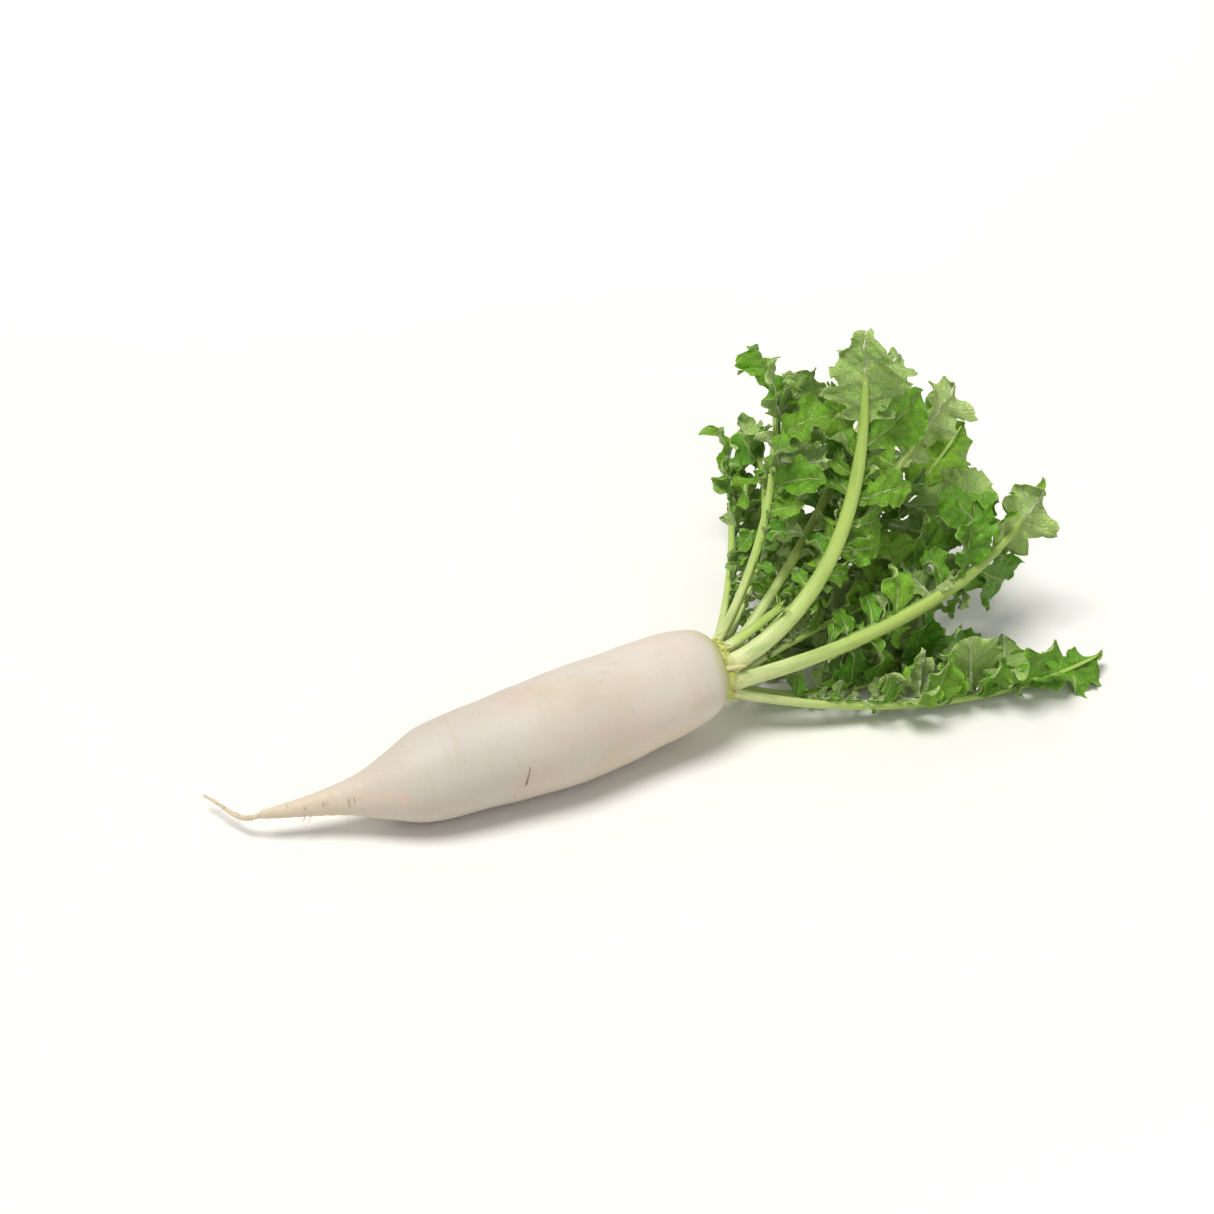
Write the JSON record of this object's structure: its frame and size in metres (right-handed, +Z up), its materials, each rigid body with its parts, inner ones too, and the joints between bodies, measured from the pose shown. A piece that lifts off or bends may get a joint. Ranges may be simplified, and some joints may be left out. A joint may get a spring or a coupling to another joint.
{
  "type": "daikon radish",
  "caption": "White daikon radish with its leaves on, lying on its side: long smooth taproot with a thread-like tail and a fan of lobed green leaves.",
  "frame": {"origin": "on the flat spot under the belly of the root, on which it rests", "axes": "+X along the root from the tail to the leaves, +Y to the side away from the viewer, +Z up"},
  "size_m": [0.5085, 0.2406, 0.1994],
  "materials": {
    "skin": "satin",
    "stalk": "satin",
    "blade": "matte"
  },
  "bodies": {
    "root": {"root": "skin", "torn_stalk": "stalk", "stalk_01": "stalk", "stalk_02": "stalk", "stalk_03": "stalk", "stalk_04": "stalk", "stalk_05": "stalk", "stalk_06": "stalk", "stalk_07": "stalk", "stalk_08": "stalk", "stalk_09": "stalk", "stalk_10": "stalk", "stalk_11": "stalk", "stalk_12": "stalk", "blade_01": "blade", "blade_02": "blade", "blade_03": "blade", "blade_04": "blade", "blade_05": "blade", "blade_06": "blade", "blade_07": "blade", "blade_08": "blade", "blade_09": "blade", "blade_10": "blade", "blade_11": "blade", "blade_12": "blade"}
  },
  "joints": []
}
